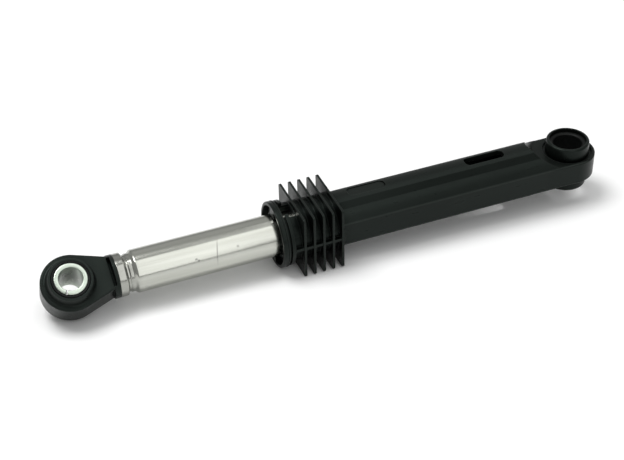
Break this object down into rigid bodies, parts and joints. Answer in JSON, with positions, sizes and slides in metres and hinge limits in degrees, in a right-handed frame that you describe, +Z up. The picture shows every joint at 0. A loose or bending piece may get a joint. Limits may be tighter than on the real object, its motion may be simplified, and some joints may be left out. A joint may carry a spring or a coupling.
{
  "type": "washing machine shock absorber",
  "caption": "Friction damper for a washing machine drum: finned moulded barrel with a pin eye, steel tube sliding in friction linings, and a rubber-bushed bolt eye.",
  "frame": {"origin": "centre of the barrel eye's hole, on the damper's long axis", "axes": "+X along the damper from the barrel eye to the rod eye, +Z up along the barrel eye's hole"},
  "size_m": [0.2784, 0.0324, 0.0324],
  "materials": {
    "black_moulding": "black glass-filled nylon, semi-matt as moulded",
    "pale_moulding": "natural acetal, smooth",
    "lining_foam": "open-cell foam soaked in grease",
    "black_rubber": "moulded rubber, satin",
    "bright_steel": "drawn and polished steel tube",
    "zinc_steel": "bright zinc-plated strip steel"
  },
  "bodies": {
    "barrel": {"barrel": "black_moulding", "mouth_cap": "black_moulding", "friction_lining_front": "lining_foam", "lining_spacer": "black_moulding", "friction_lining_rear": "lining_foam", "retaining_sleeve": "black_moulding", "barrel_eye_bush": "black_rubber"},
    "guide": {"rod_guide": "pale_moulding"},
    "rod": {"rod_tube": "bright_steel", "rod_eye": "black_moulding", "rod_eye_bush": "black_rubber", "rod_eye_sleeve": "zinc_steel"}
  },
  "joints": [
    {"name": "rod_slide", "type": "slide", "parent": "barrel", "child": "guide", "axis": [1, 0, 0], "range_m": [-0.062, 0.005]},
    {"name": "rod_turn", "type": "hinge", "parent": "guide", "child": "rod", "pos_m": [0.092, 0, 0], "axis": [1, 0, 0], "continuous": true}
  ]
}
